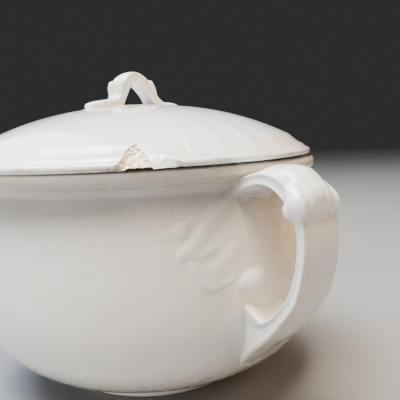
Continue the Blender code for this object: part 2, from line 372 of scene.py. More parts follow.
def make_bowl(material):
    line = bowl_line()

    def change(b, r, z, n):
        # The leaf spray, on the outside only.
        outer = (n[..., 0] > 0.15) & (r > SPRAY_RADIUS)
        amount = np.where(outer, spray_relief(b, z), 0.0)
        amount = amount * smoothstep(*SPRAY_FADE[::-1], z)

        # Above its foot the bowl is a little out of round, and softly uneven.
        warp = 0.22 * np.cos(2 * b + 0.7) + 0.1 * np.cos(5 * b + 2.0) - 0.25
        soft = 0.05 * noise(np.stack([r * np.cos(b), r * np.sin(b), z], axis=-1), 22.0, 3)
        body = smoothstep(*UNEVEN_FROM, z)
        grow = amount + (warp + soft) * body
        return r + n[..., 0] * grow, np.maximum(z + n[..., 1] * (amount + soft * body), 0.0)

    angles = bearings((-180, -34, 1.5), (-34, 34, 0.4), (34, 180, 1.5))
    points, faces, r, z, b = turned(line, angles, BOWL_AXIS, change)
    piece = mesh_piece("pot_body_ware", points, faces, "pot", "pot_body", material)
    # Tea patches; inside the strap handle's loop they are painted warm shade and bounce light.
    tea = patches(POT_TEA_AND_WARM_SHADE, b, z) * (r > 107.0)
    # A dark band on the rim's top, under the lid's edge.
    grime = smoothstep(144.9, 146.1, z) * smoothstep(110.4, 112.6, r)
    # Painted shade in the neck, under the rim, fading out on the rim bead.
    film = smoothstep(*NECK_SHADE_RISE, z) * smoothstep(*NECK_SHADE_FADE[::-1], z) * smoothstep(106.0, 108.5, r)
    paint(piece, tea=tea, grime=grime, neck_film=film)


# ---------------------------------------------------------------- lofted handles

# How many more times a handle's outer edges are smoothed than its inner ones.
OUTER_ROUNDING = 6


def handle_grid(stations, along, crown, bulge, hollow, rounding, count):
    """Points of a strap through its stations, read at the places along, counted in stations. Each
    station is (outer, inner, outer half width, inner half width): the outer and inner edges of the
    strap's side faces in the handle's plane. Returns the grid as (reach, across, height), and each
    column's place round the section.

    Round the section, place runs 0 at the middle of the outer face, 1 at its edge, 2 at the inner
    face's edge and 3 at the middle of the inner face, negative on the -across side."""
    rows = spline_at([(*outer, *inner, *widths) for outer, inner, *widths in stations], along)
    place = np.linspace(3, -3, count, endpoint=False)
    a = np.abs(place)
    side = np.sign(place)
    across = np.where(a <= 1, a, np.where(a <= 2, 1.0, 3.0 - a)) * side
    depth = np.clip(a - 1.0, 0.0, 1.0)
    outer, inner = rows[:, 0:2], rows[:, 2:4]
    width = rows[:, 4:5] * (1 - depth) + rows[:, 5:6] * depth
    thick = outer - inner
    outward = thick / np.linalg.norm(thick, axis=1, keepdims=True)
    plane = outer[:, None, :] - thick[:, None, :] * depth[None, :, None]
    arch = 1 - across**2
    crown, bulge = (np.broadcast_to(value, len(rows))[:, None] for value in (crown, bulge))
    swell = np.where(a < 1, arch, 0.0) * crown - np.where(a > 2, arch, 0.0) * bulge
    plane = plane + outward[:, None, :] * swell[..., None]
    wall = 4 * depth * (1 - depth)
    sideways = across[None, :] * width - side[None, :] * hollow * wall[None, :]
    grid = np.stack([plane[..., 0], sideways, plane[..., 1]], axis=2)
    outer_edges = smoothstep(1.75, 1.35, a)[None, :, None]
    for turn in range(rounding + OUTER_ROUNDING):
        where = 1.0 if turn < rounding else outer_edges
        blurred = 0.5 * grid + 0.25 * (np.roll(grid, 1, axis=1) + np.roll(grid, -1, axis=1))
        grid = grid + where * (blurred - grid)
    return grid, place


def soften(grid, times):
    """The grid with each point drawn towards its neighbours, save the two end rows."""
    for _ in range(times):
        inner = 0.5 * grid + 0.25 * (np.roll(grid, 1, axis=1) + np.roll(grid, -1, axis=1))
        grid[1:-1] = 0.5 * inner[1:-1] + 0.25 * (inner[:-2] + inner[2:])
    return grid


def fillet(distance, radius):
    """How far a round fillet stands off at a distance from the surface that it runs out on."""
    near = np.clip(radius - np.maximum(distance, 0.0), 0.0, None)
    return radius - np.sqrt(np.maximum(radius**2 - near**2, 0.0))


def close_handle(grid, axis, turn):
    """Points and faces of a handle's grid, closed at its ends, turned about its ware's axis."""
    ends = np.stack([grid[0].mean(axis=0), grid[-1].mean(axis=0)])
    points = np.vstack([grid.reshape(-1, 3), ends])
    spin = np.array([[math.cos(turn), -math.sin(turn), 0], [math.sin(turn), math.cos(turn), 0], [0, 0, 1]])
    return points @ spin.T * MM + axis, closed_faces(*grid.shape[:2])


STRAP = [
    # outer edge, inner edge, half width there and there
    ((106.5, 136.2), (106.5, 130.0), 13.6, 14.2),
    ((112.5, 138.3), (111.5, 131.6), 13.4, 13.7),
    ((121.5, 140.6), (119.5, 134.6), 13.3, 13.3),
    ((131.5, 141.8), (128.7, 136.2), 13.3, 13.3),
    ((141.5, 139.2), (138.4, 133.9), 13.3, 13.3),
    ((150.6, 132.6), (146.2, 128.0), 13.4, 13.4),
    ((156.8, 123.2), (151.8, 120.0), 13.5, 13.5),
    ((158.9, 111.4), (154.0, 110.3), 13.4, 13.4),
    ((158.1, 99.4), (153.2, 99.3), 13.4, 13.4),
    ((155.2, 87.0), (150.0, 87.8), 13.4, 13.4),
    ((150.6, 75.6), (144.3, 76.8), 13.4, 13.4),
    ((141.2, 64.6), (134.6, 66.4), 13.5, 13.5),
    ((130.2, 53.2), (126.6, 61.8), 13.6, 13.8),
    ((117.4, 42.8), (117.8, 60.8), 13.2, 14.8),
    ((108.2, 35.0), (111.6, 60.6), 11.4, 15.8),
    ((100.0, 28.6), (104.0, 61.0), 7.5, 16.2),
]
# The strap's face reaches no further than the limit, which it nears over the last easing distance.
STRAP_LIMIT = 160.35
STRAP_EASING = 0.8
# How far the curled bead at each side of the leaf cap stands out.
CAP_BEAD = 4.2


def leaf_cap(place, along):
    """The ribbed leaf folded over the strap's bend: how far it stands out, in millimetres."""
    a = np.abs(place)[None, :]
    k = along[:, None]

    # Two grooves run down each half, and nick the leaf's lower end.
    grooves = bell(a - 0.67, 0.085) + 0.55 * bell(a - 0.22, 0.08)
    end = 6.34 - 0.10 * grooves - 0.04 * smoothstep(1.1, 1.6, a)

    # It thickens from the bowl to the bend, most of all in the middle, and has a raised lobe at its edge.
    thick = 2.3 * smoothstep(3.0, 4.3, k) + 0.9 * smoothstep(4.7, 5.6, k)
    middle = 2.0 * smoothstep(1.9, 3.1, k) + 1.5 * smoothstep(3.2, 4.6, k)
    middle = middle * smoothstep(6.3, 5.15, k)
    thick = thick + middle * np.clip(1.0 - a**2, 0.0, 1.0)
    thick = thick - 0.65 * grooves * smoothstep(4.0, 5.5, k)
    thick = thick + 0.8 * bell(a - 0.92, 0.17) * smoothstep(4.7, 5.5, k)

    # Its lower end rolls under, its sides wrap the strap's edges at the bend, and each ends in a bead.
    roll = np.sqrt(np.clip(1.0 - ((k - end + 0.66) / 0.66).clip(0.0, 1.0) ** 2, 0.0, 1.0))
    edge = 0.82 + 1.0 * smoothstep(4.6, 5.05, k)
    sheet = thick * roll * smoothstep(edge + 0.28, edge - 0.20, a)
    bead = np.clip(1.0 - ((k - 5.58) / 0.50) ** 2 - ((a - 1.56) / 1.12) ** 2, 0.0, 1.0)
    return (sheet**4 + (CAP_BEAD * np.sqrt(bead)) ** 4) ** (1 / 4)


def scoop(place, along, distance):
    """How far the strap's lower end sweeps up the bowl's wall, highest near the two inner edges."""
    a = np.abs(place)[None, :]
    flank = smoothstep(0.0, 0.8, place)[None, :]
    ear = bell(a - 2.16, 0.42)
    radius = (4.6 + (5.6 - 3.2 * flank) * ear) * smoothstep(8.0, 10.0, along)[:, None]
    near = np.clip(1.0 - np.maximum(distance, 0.0) / (1.3 * np.maximum(radius, 0.01)), 0.0, 1.0)
    return radius * near**1.35 * smoothstep(1.0, 2.0, a)


def scoop_lip(place, along):
    """The rounded lip along the inner edges of the strap's lower end, and the groove beside it."""
    a = np.abs(place)[None, :]
    low = smoothstep(9.5, 11.5, along)[:, None]
    return low * (0.55 * bell(a - 2.0, 0.11) - 0.5 * bell(a - 1.72, 0.12))


def make_strap(material):
    places = (
        np.linspace(0.0, 2.4, 60), np.linspace(2.4, 6.9, 100)[1:],
        np.linspace(6.9, 11.0, 56)[1:], np.linspace(11.0, 15.0, 90)[1:],
    )
    along = np.concatenate(places)
    crown = 0.7 + 1.6 * smoothstep(5.5, 3.5, along) + 0.9 * smoothstep(9.5, 12.0, along)
    bulge = 3.0 - 1.6 * smoothstep(10.0, 12.5, along)
    grid, place = handle_grid(STRAP, along, crown, bulge, hollow=0.8, rounding=2, count=144)
    normal = grid_normals(grid)
    grid = grid + normal * (leaf_cap(place, along) + scoop_lip(place, along))[..., None]
    grid = soften(grid, 2)

    # Where the strap runs out on the bowl its upper end flares a little and its lower end sweeps up.
    height = np.clip(grid[..., 2], 20.0, 140.0)
    distance = np.hypot(grid[..., 0], grid[..., 1]) - np.interp(height, *bowl_profile())
    grid[..., 2] += scoop(place, along, distance)
    a = np.abs(place)[None, :]
    upper = 1.0 + 3.5 * smoothstep(1.0, 2.0, a) * smoothstep(3.0, 2.3, a)
    radius = np.where(along[:, None] < 6.0, upper, 0.9)
    grid = grid + normal * fillet(distance, radius)[..., None]
    grid = soften(grid, 1)

    # The face is held within its limit.
    over = np.maximum(grid[..., 0] - STRAP_LIMIT + STRAP_EASING, 0.0)
    grid[..., 0] += STRAP_EASING * (1 - np.exp(-over / STRAP_EASING)) - over
    points, faces = close_handle(grid, BOWL_AXIS, 0.0)
    piece = mesh_piece(
        "pot_handle_ware", points, faces, "pot", "pot_handle", material
    )

    # Tea-coloured painted warm shade on its outer face and underneath, and the neck's painted shade where
    # it leaves the bowl.
    face = smoothstep(1.15, 0.85, a) * smoothstep(5.8, 6.6, along)[:, None]
    under = smoothstep(1.9, 2.3, a) * smoothstep(3.0, 6.0, along)[:, None]
    tea = (0.40 * face + 0.45 * under) * (0.8 + 0.2 * noise(grid, 14.0, 22))
    film = smoothstep(9.0, 1.0, distance) * smoothstep(4.0, 2.0, along)[:, None]
    paint(piece, tea=tea, neck_film=film * smoothstep(0.6, 1.2, a))


# Half of the arch, from its foot's tip to its crest, given as the strap is.
ARCH_HALF = [
    ((35.4, 184.0), (35.4, 178.6), 3.2, 3.6),
    ((33.6, 185.8), (33.4, 179.2), 6.8, 7.4),
    ((29.6, 187.0), (29.2, 179.8), 9.4, 10.0),
    ((24.0, 187.8), (23.2, 180.0), 10.0, 10.2),
    ((18.0, 188.5), (17.0, 180.2), 9.4, 9.6),
    ((14.6, 190.9), (13.6, 182.0), 9.0, 8.9),
    ((13.2, 194.6), (11.2, 187.2), 8.8, 8.6),
    ((11.4, 198.2), (8.6, 192.2), 8.8, 8.6),
    ((8.5, 201.8), (6.1, 196.2), 8.8, 8.8),
    ((4.8, 204.9), (3.2, 199.1), 8.6, 8.6),
    ((0.0, 206.2), (0.0, 200.2), 8.4, 8.4),
]
# The arch is a little askew: one leg is thinner, the crest leans over and one foot is pressed down.
ARCH_THINNING = 1.5
ARCH_LEAN = 2.1
ARCH_FOOT_DROP = 2.4


def arch_leaves(place, along, last):
    """The leaf that wraps each leg of the arch: it ends in a ledge below the crest."""
    k = np.minimum(along, last - along)[:, None]
    a = np.abs(place)[None, :]
    outer = 1.0 - smoothstep(0.95, 1.7, a)
    ribs = 0.8 + 0.2 * np.cos(a * math.pi * 2.2)
    end = 7.9 - 0.45 * np.minimum(a, 1.2)
    leaf = 1.8 * smoothstep(4.6, 7.2, k) * smoothstep(end + 0.16, end - 0.12, k)
    vein = 0.35 * bell(a, 0.16) * smoothstep(1.0, 2.5, k) * smoothstep(5.2, 4.0, k)
    return (leaf * ribs - vein) * outer


def make_arch(material):
    mirrored = [((-o[0], o[1]), (-i[0], i[1]), *w) for o, i, *w in ARCH_HALF[:-1]]
    stations = mirrored + ARCH_HALF[::-1]
    last = len(stations) - 1
    along = np.linspace(0.0, last, last * 12 + 1)
    grid, place = handle_grid(stations, along, crown=0.9, bulge=2.4, hollow=0.35, rounding=2, count=96)
    normal = grid_normals(grid)
    grid = grid + normal * arch_leaves(place, along, last)[..., None]
    grid = soften(grid, 1)
    inner = smoothstep(1.2, 2.2, np.abs(place))[None, :]
    thinned = inner * smoothstep(1.0, 4.0, grid[..., 0]) * smoothstep(199.0, 186.0, grid[..., 2])
    grid[..., 0] += ARCH_THINNING * thinned
    grid[..., 0] -= ARCH_LEAN * smoothstep(190.0, 207.0, grid[..., 2])
    grid[..., 2] -= ARCH_FOOT_DROP * smoothstep(14.0, 21.0, grid[..., 0])
    points, faces = close_handle(grid, ARCH_AXIS, math.pi / 2)
    piece = mesh_piece(
        "lid_handle_ware", points, faces, "lid", "lid_handle", material
    )
    side = bell(np.abs(place) - 1.5, 0.75)[None, :] * (0.75 + 0.25 * noise(grid, 9.0, 21))
    paint(piece, tea=0.70 * side)


# ---------------------------------------------------------------- the lid

def dome(radius):
    """The height of the lid's dome at a radius."""
    return SHOULDER_HEIGHT + DOME_RISE * (1 - (radius / SHOULDER_RADIUS) ** DOME_POWER)


def lid_line():
    """The lid's profile, from its underside on the axis round its flange and rim to its top."""
    flange_inside = FLANGE_RADIUS - FLANGE_WIDTH
    low = SEAT_HEIGHT - FLANGE_DEPTH
    under_radius = np.linspace(0.0, flange_inside - 12.0, 30)
    underside = np.stack([under_radius, dome(under_radius) - LID_WALL], axis=1)
    flange = [
        (flange_inside - 11.0, 164.9), (flange_inside - 5.0, 160.9), (flange_inside - 1.0, 153.9),
        (flange_inside, low + 1.4), (flange_inside + 1.0, low), (FLANGE_RADIUS - 1.2, low),
        (FLANGE_RADIUS - 0.3, low + 1.3), (FLANGE_RADIUS, SEAT_HEIGHT - 1.2),
        (FLANGE_RADIUS + 1.0, SEAT_HEIGHT), (FLANGE_RADIUS + 8.0, SEAT_HEIGHT), (116.8, SEAT_HEIGHT),
    ]
    edge = oval((LID_RADIUS - EDGE_BEAD, SEAT_HEIGHT + EDGE_BEAD), EDGE_BEAD, EDGE_BEAD, -84, 56, 11)
    cove = [
        (SHOULDER_RADIUS + 11.4, SHOULDER_HEIGHT - 8.5), (SHOULDER_RADIUS + 10.2, SHOULDER_HEIGHT - 7.5),
        (SHOULDER_RADIUS + 8.9, SHOULDER_HEIGHT - 6.4), (SHOULDER_RADIUS + 7.4, SHOULDER_HEIGHT - 5.75),
        (SHOULDER_RADIUS + 5.0, SHOULDER_HEIGHT - 4.2), (SHOULDER_RADIUS + 3.0, SHOULDER_HEIGHT - 2.55),
        (SHOULDER_RADIUS + 1.4, SHOULDER_HEIGHT - 1.1), (SHOULDER_RADIUS - 0.4, SHOULDER_HEIGHT + 0.3),
        (SHOULDER_RADIUS - 3.0, dome(SHOULDER_RADIUS - 3.0)),
    ]
    top_radius = np.linspace(SHOULDER_RADIUS - 4.0, 0.0, 60)
    top = np.stack([top_radius, dome(top_radius)], axis=1)
    rim = spline([(117.2, SEAT_HEIGHT), *edge, *cove], 6)
    return join_lines(
        evenly(underside, 3.0),
        evenly(spline(flange, 6), 1.6)[1:],
        evenly(rim, 0.36)[1:],
        evenly(top, 1.1),
    )


# The flake missing from the lid's rim: its bearing, and its upper outline as (millimetres round the
# rim, height). Left of the ridge the break is rough, and right of it smooth and shell-shaped. Its foot
# is the radius and height where it leaves the lid's edge. The inset sinks the whole face a little. The
# notch is the gap that the break leaves below the edge.
CHIP_BEARING = math.radians(-31.0)
CHIP_OUTLINE = [
    (-15.0, 147.8), (-12.8, 148.8), (-10.9, 149.2), (-8.4, 151.4), (-6.9, 153.8), (-5.0, 156.4),
    (-3.7, 158.2), (-2.6, 159.2), (0.0, 159.6), (1.8, 159.2), (2.9, 157.8), (3.7, 155.6), (4.9, 155.7),
    (7.4, 155.4), (12.3, 154.5), (17.2, 153.1), (20.6, 151.5), (23.6, 149.8), (25.2, 147.6),
]
CHIP_RIDGE = 6.6
CHIP_FOOT = (118.4, 147.7)
CHIP_INSET = 0.15
NOTCH_RISE = 1.3


# The lid's rim from its edge up to its shoulder, as (height, radius).
LID_RIM = [
    (146.2, 119.0), (149.2, LID_RADIUS), (150.4, 119.6), (151.1, 118.9), (151.8, 117.4),
    (153.9, 114.8), (156.1, 111.0), (157.75, 109.0), (159.2, 107.4), (SHOULDER_HEIGHT, SHOULDER_RADIUS),
]


def degrees_from(place, bearing):
    """How far round a bearing in radians lies from a place in degrees, from -180 to 180 degrees."""
    return (np.degrees(bearing) - place + 180.0) % 360.0 - 180.0


def round_rim(bearing):
    """Millimetres round the lid's rim from the flake's middle."""
    return ((bearing - CHIP_BEARING + math.pi) % TAU - math.pi) * LID_RADIUS


def chip_surface(bearing, height):
    """The radius of the broken face at a place on the rim, infinite where nothing is broken; how far
    the place is in the left part of the break; and how far it is within the break's outline."""
    x = round_rim(bearing)

    # The outline wanders a little on the rough side.
    flat = np.stack([x, height], axis=-1)
    outline = np.array(CHIP_OUTLINE)
    wander = (0.22 * np.sin(x * 1.9) + 0.14 * np.sin(x * 4.3 + 1.0)) * smoothstep(8.0, 2.0, x)
    top = np.interp(x, outline[:, 0], outline[:, 1], left=140.0, right=140.0) + wander

    # The face falls from the outline to the foot, hollow on the rough side and full on the other.
    left = smoothstep(CHIP_RIDGE + 0.9, CHIP_RIDGE - 0.5, x + 0.45 * (height - 151.0))
    foot_radius, foot_height = CHIP_FOOT
    foot = foot_radius - 1.7 * left * smoothstep(-13.0, -6.0, x)
    start = np.interp(top, *np.transpose(LID_RIM))
    fall = np.clip((top - height) / np.maximum(top - foot_height, 0.5), 0.0, 1.3)
    face = start + (foot - start) * fall ** (0.68 + 0.62 * left)

    # The rough side is lumpy and stepped, the smooth side nearly even.
    rough = 0.22 * noise(flat, 3.2, 11) + 0.13 * noise(flat, 1.3, 12)
    steps = 0.16 * np.sin(2.3 * (height + 0.75 * x) + 1.5 * noise(flat, 5.0, 13))
    face = face + left * (rough + steps) + (1 - left) * 0.05 * noise(flat, 4.0, 14)
    inside = (height < top) & (x > outline[0, 0]) & (x < outline[-1, 0])
    margin = np.clip((top - height) / 0.4, 0.0, 1.0) * inside
    return np.where(inside, face - CHIP_INSET, np.inf), left, margin


def chip_lift(bearing):
    """How far the break raises the lower edge of the lid, in millimetres."""
    x = round_rim(bearing)
    notch = smoothstep(-8.0, -3.0, x) * smoothstep(8.9, 8.4, x)
    return NOTCH_RISE * notch * (1 + 0.12 * np.sin(1.3 * x))


# How far the lid's edge is warped up from its seat on the strap's side.
EDGE_WARP = 0.5


def edge_lift(bearing):
    """How far the lid's edge is warped up from its seat, in millimetres."""
    turn = degrees_from(0.0, bearing)
    return EDGE_WARP * smoothstep(-29.0, -24.0, turn) * smoothstep(75.0, 35.0, turn)


# The folds' sharp edges, in degrees from the side's middle, and their heights.
LID_FOLDS = ((6.2, 0.55), (16.2, 0.38))


def lid_folds(bearing, radius):
    """Low moulded folds over the lid's edge, on its +X and -X sides."""
    half_turn = (np.degrees(bearing) + 90.0) % 180.0 - 90.0
    b = np.abs(half_turn)
    fade = smoothstep(80.0, 96.0, radius) * smoothstep(118.5, 114.0, radius)
    fold = 0.0
    for edge, rise in LID_FOLDS:
        off = b - edge
        fold = fold + rise * np.where(off < 0, np.exp(off / 3.2), np.exp(-((off / 0.7) ** 2)))
    return fold * fade


def make_lid(material):
    line = lid_line()
    store = {}
    arch_y = (ARCH_AXIS[1] - LID_AXIS[1]) / MM

    def change(b, r, z, n):
        # The moulded folds, and the pad under the arch handle.
        above = (n[..., 1] > -0.9) & (z > SEAT_HEIGHT + 0.01) & (r > 60.0)
        folds = np.where(above, lid_folds(b, r), 0.0)
        r = r + n[..., 0] * folds
        z = z + n[..., 1] * folds
        over_x, over_y = r * np.cos(b), r * np.sin(b) - arch_y
        pad = np.hypot(over_x / PAD_HALF[0], over_y / PAD_HALF[1])
        z = z + PAD_RISE * smoothstep(1.07, 0.95, pad) * (n[..., 1] > 0.5)

        # The flake's broken face, and the lower edge where the break or the lid's warp raises it.
        on_rim = above & (r > 104.0)
        broken, left, margin = chip_surface(b, z)
        r = np.where(on_rim & (broken < r), broken, r)
        edge = (z < SEAT_HEIGHT + 3.2) & (r > 108.0)
        raised = SEAT_HEIGHT + np.maximum(chip_lift(b), edge_lift(b)) * smoothstep(108.0, 115.0, r)
        lifted = edge & (z < raised)
        z = np.where(lifted, raised, z)

        # The rim is a little out of round.
        warp = 0.25 * np.cos(2 * b + 2.1) + 0.12 * np.cos(3 * b)
        body = smoothstep(100.0, 118.0, r)
        r = r - RIM_CLEARANCE * (1 - warp) * body
        store["chip"] = margin * on_rim
        store["chip"][lifted & (chip_lift(b) > 0.4)] = 1.0
        store["rough_part"] = left * store["chip"]
        return r, z

    angles = bearings((-180, -48, 1.2), (-48, -12, 0.2), (-12, 24, 0.6), (24, 180, 1.2))
    points, faces, r, z, b = turned(line, angles, LID_AXIS, change)
    piece = mesh_piece("lid_dome_ware", points, faces, "lid", "lid_dome", material)
    paint(piece, **store, stain=rim_stains(b, r, z), tea=patches(LID_TEA, b, z) * (r > 100.0))


# Pale tea-coloured stains, as (bearing in degrees, height, half length round in degrees, half height,
# strength).
LID_TEA = [
    (24.0, 157.0, 17.0, 3.6, 0.60), (-19.5, 154.6, 4.0, 2.4, 0.45), (40.0, 149.6, 16.0, 2.6, 0.75),
    (-50.0, 148.4, 13.0, 1.5, 0.30), (120.0, 156.0, 20.0, 3.5, 0.40), (-150.0, 149.4, 22.0, 2.4, 0.45),
]
# On the bowl the first patch, inside the strap handle's loop, is painted warm shade and bounce light.
POT_TEA_AND_WARM_SHADE = [
    (10.0, 98.0, 9.5, 34.0, 0.95), (0.0, 142.5, 200.0, 4.6, 0.42), (36.0, 142.5, 34.0, 5.0, 0.60),
    (170.0, 96.0, 22.0, 20.0, 0.22), (-12.0, 74.5, 8.0, 6.0, 0.30),
]

# Brown stains along the lid's edge, as (bearing in degrees, height, half length round in degrees,
# half height).
EDGE_STAINS = [
    (-38.0, 148.3, 3.0, 0.6), (-44.0, 148.0, 3.4, 0.5), (-61.0, 149.5, 1.6, 0.9), (-57.5, 148.8, 1.0, 0.6),
    (-10.5, 150.2, 0.9, 0.7), (-8.2, 149.8, 1.4, 0.6), (-6.6, 150.4, 0.7, 0.6), (17.6, 149.6, 1.6, 0.8),
    (71.0, 149.2, 1.8, 0.7), (103.0, 150.3, 1.1, 0.6), (148.0, 148.8, 2.6, 0.8), (-128.0, 149.6, 1.5, 0.7),
]


def rim_stains(bearing, radius, height):
    """The strength of the brown stains along the lid's edge."""
    total = np.zeros(bearing.shape)
    for place, level, long, high in EDGE_STAINS:
        turn = degrees_from(place, bearing)
        total += np.exp(-((turn / long) ** 2) - ((height - level) / high) ** 2)
    return np.clip(total, 0.0, 1.0) * (radius > 112.0)


def patches(places, bearing, height):
    """The strength of soft patches, each given as in a list of places."""
    total = np.zeros(bearing.shape)
    for place, level, long, high, strength in places:
        turn = degrees_from(place, bearing)
        total = np.maximum(total, strength * np.exp(-((turn / long) ** 4) - ((height - level) / high) ** 4))
    return total


# ---------------------------------------------------------------- materials

class Look:
    """A node material as it is wired up. Its texture place is the piece's own coordinates."""

    def __init__(self, name, coat=0.0):
        self.material = bpy.data.materials.new(name)
        self.material.use_nodes = True
        self.tree = self.material.node_tree
        self.shader = self.tree.nodes["Principled BSDF"]
        self.place = self.add("ShaderNodeTexCoord").outputs["Object"]
        self.shader.inputs["Coat Weight"].default_value = coat
        self.shader.inputs["Coat Roughness"].default_value = 0.07
        self.shader.inputs["Coat IOR"].default_value = 1.5

    def add(self, kind, **settings):
        node = self.tree.nodes.new(kind)
        for key, value in settings.items():
            setattr(node, key, value)
        return node

    def put(self, socket, value):
        if isinstance(value, bpy.types.NodeSocket):
            self.tree.links.new(value, socket)
        else:
            socket.default_value = value

    def noise(self, scale, detail=2.0, roughness=0.5, stretch=(1, 1, 1), offset=(0, 0, 0)):
        mapping = self.add("ShaderNodeMapping")
        self.put(mapping.inputs["Vector"], self.place)
        mapping.inputs["Scale"].default_value = stretch
        mapping.inputs["Location"].default_value = offset
        node = self.add("ShaderNodeTexNoise")
        self.put(node.inputs["Vector"], mapping.outputs["Vector"])
        node.inputs["Scale"].default_value = scale
        node.inputs["Detail"].default_value = detail
        node.inputs["Roughness"].default_value = roughness
        return node.outputs["Fac"]

    def cells(self, scale, feature, offset=(0, 0, 0)):
        """A Voronoi texture whose cells are a little uneven."""
        mapping = self.add("ShaderNodeMapping")
        wobble = self.add("ShaderNodeTexNoise")
        wobble.inputs["Scale"].default_value = scale * 0.8
        self.put(wobble.inputs["Vector"], self.place)
        shifted = self.add("ShaderNodeVectorMath", operation="MULTIPLY_ADD")
        self.put(shifted.inputs[0], wobble.outputs["Color"])
        shifted.inputs[1].default_value = (0.5 / scale,) * 3
        self.put(shifted.inputs[2], self.place)
        self.put(mapping.inputs["Vector"], shifted.outputs["Vector"])
        mapping.inputs["Location"].default_value = offset
        node = self.add("ShaderNodeTexVoronoi", feature=feature)
        self.put(node.inputs["Vector"], mapping.outputs["Vector"])
        node.inputs["Scale"].default_value = scale
        return node

    def step(self, value, low, high, start=0.0, end=1.0):
        """A smooth step of a value from start to end, as it goes from low to high."""
        node = self.add("ShaderNodeMapRange", interpolation_type="SMOOTHSTEP")
        self.put(node.inputs["Value"], value)
        for key, number in (("From Min", low), ("From Max", high), ("To Min", start), ("To Max", end)):
            self.put(node.inputs[key], number)
        return node.outputs["Result"]

    def math(self, operation, *values):
        node = self.add("ShaderNodeMath", operation=operation)
        for socket, value in zip(node.inputs, values):
            self.put(socket, value)
        return node.outputs["Value"]

    def times(self, first, second):
        return self.math("MULTIPLY", first, second)

    def mix(self, factor, first, second):
        """The first colour, blended into the second by the factor."""
        node = self.add("ShaderNodeMix", data_type="RGBA")
        self.put(node.inputs["Factor"], factor)
        for socket, colour in ((node.inputs["A"], first), (node.inputs["B"], second)):
            socket = [s for s in node.inputs if s.name == socket.name and s.type == "RGBA"][0]
            self.put(socket, colour if isinstance(colour, bpy.types.NodeSocket) else (*colour, 1.0))
        return [s for s in node.outputs if s.type == "RGBA"][0]

    def painted(self, name):
        """A point attribute of the piece."""
        return self.add("ShaderNodeAttribute", attribute_name=name).outputs["Fac"]

    def height(self):
        separate = self.add("ShaderNodeSeparateXYZ")
        self.put(separate.inputs["Vector"], self.place)
        return separate.outputs["Z"]

    def bump(self, height, distance, strength):
        node = self.add("ShaderNodeBump")
        node.inputs["Strength"].default_value = strength
        node.inputs["Distance"].default_value = distance
        self.put(node.inputs["Height"], height)
        return node.outputs["Normal"]


GLAZE_COOL = (0.800, 0.800, 0.790)
GLAZE_CREAM = (0.830, 0.785, 0.690)
GLAZE_STAIN = (0.640, 0.520, 0.370)
# Tea stains, and the painted warm shade on the strap handle and inside its loop.
TEA_AND_WARM_SHADE_TONE = (0.760, 0.600, 0.410)
IRON_BROWN = (0.115, 0.058, 0.028)
BISCUIT = (0.800, 0.690, 0.540)
BISCUIT_DARK = (0.400, 0.320, 0.240)
BROKEN_PALE = (0.870, 0.750, 0.620)
BROKEN_TAN = (0.800, 0.630, 0.460)
BROKEN_BROWN = (0.340, 0.200, 0.110)
SHELL_WHITE = (0.880, 0.880, 0.880)
SHELL_GREY = (0.840, 0.840, 0.820)
# The colour of the dark band on the rim's top, under the lid's edge.
RIM_TOP_DARK = (0.085, 0.062, 0.045)
# The colour of the painted shade in the neck, under the rim.
NECK_SHADE_PAINT = (0.300, 0.262, 0.225)
CRACK_TAN = (0.560, 0.460, 0.340)
FLOOR_GREYS = ((0.200, 0.198, 0.196), (0.220, 0.218, 0.216))


def glaze(name, cream, stains):
    """An old white glaze: uneven in tone, finely crazed, specked with iron, with a soft orange-peel.
    Cream is how warm its tone is and stains how strong its clouds are, both from 0 to 1."""
    look = Look(name, coat=1.0)

    # Its tone drifts between cool and cream.
    broad = look.noise(9.0, 3.0, 0.55)
    fine = look.noise(55.0, 3.0, 0.6, offset=(3, 1, 7))
    tone = look.math("MULTIPLY_ADD", fine, 0.25, broad)
    warm = look.step(tone, 0.42, 0.98, max(0.0, cream - 0.3), min(1.0, cream + 0.3))
    colour = look.mix(warm, GLAZE_COOL, GLAZE_CREAM)

    # Clouds of stain; tea-coloured patches, which are stains in most places but painted warm shade and
    # bounce light on the strap handle and inside its loop; and painted shade in the neck, under the rim.
    cloud = look.step(look.noise(22.0, 5.0, 0.65, offset=(9, 4, 2)), 0.60, 0.78, 0.0, stains)
    colour = look.mix(cloud, colour, GLAZE_STAIN)
    mottle = look.step(look.noise(70.0, 4.0, 0.6, offset=(6, 2, 8)), 0.25, 0.75, 0.55, 1.0)
    colour = look.mix(look.times(look.painted("tea"), mottle), colour, TEA_AND_WARM_SHADE_TONE)
    shade_patchiness = look.step(broad, 0.30, 0.70, 0.58, 0.76)
    colour = look.mix(look.times(look.painted("neck_film"), shade_patchiness), colour, NECK_SHADE_PAINT)

    # Fine crazing, stronger in some places than in others.
    craze_cells = look.cells(190.0, "DISTANCE_TO_EDGE").outputs["Distance"]
    craze = look.step(craze_cells, 0.030, 0.006)
    where = look.step(look.noise(14.0, 2.0, 0.5, offset=(5, 8, 1)), 0.50, 0.66, 0.02, 0.20)
    colour = look.mix(look.times(craze, where), colour, CRACK_TAN)

    # Iron specks, in a few of the cells only.
    specks = look.cells(85.0, "F1", offset=(2, 5, 9))
    chosen = look.step(specks.outputs["Color"], 0.90, 0.93)
    small = look.step(specks.outputs["Distance"], 0.075, 0.035)
    specked = look.times(chosen, look.times(small, 0.55))
    colour = look.mix(specked, colour, IRON_BROWN)

    # Wear in the gloss, orange-peel and pinholes.
    rough = look.step(look.noise(38.0, 4.0, 0.6, offset=(1, 6, 3)), 0.35, 0.75, 0.20, 0.42)
    peel = look.noise(120.0, 2.0, 0.45, offset=(4, 4, 8))
    pits = look.step(look.cells(260.0, "F1", offset=(7, 7, 7)).outputs["Distance"], 0.10, 0.22)
    relief = look.math("MULTIPLY_ADD", pits, 0.10, peel)
    normal = look.bump(relief, distance=0.00035, strength=0.35)
    return look, colour, rough, normal


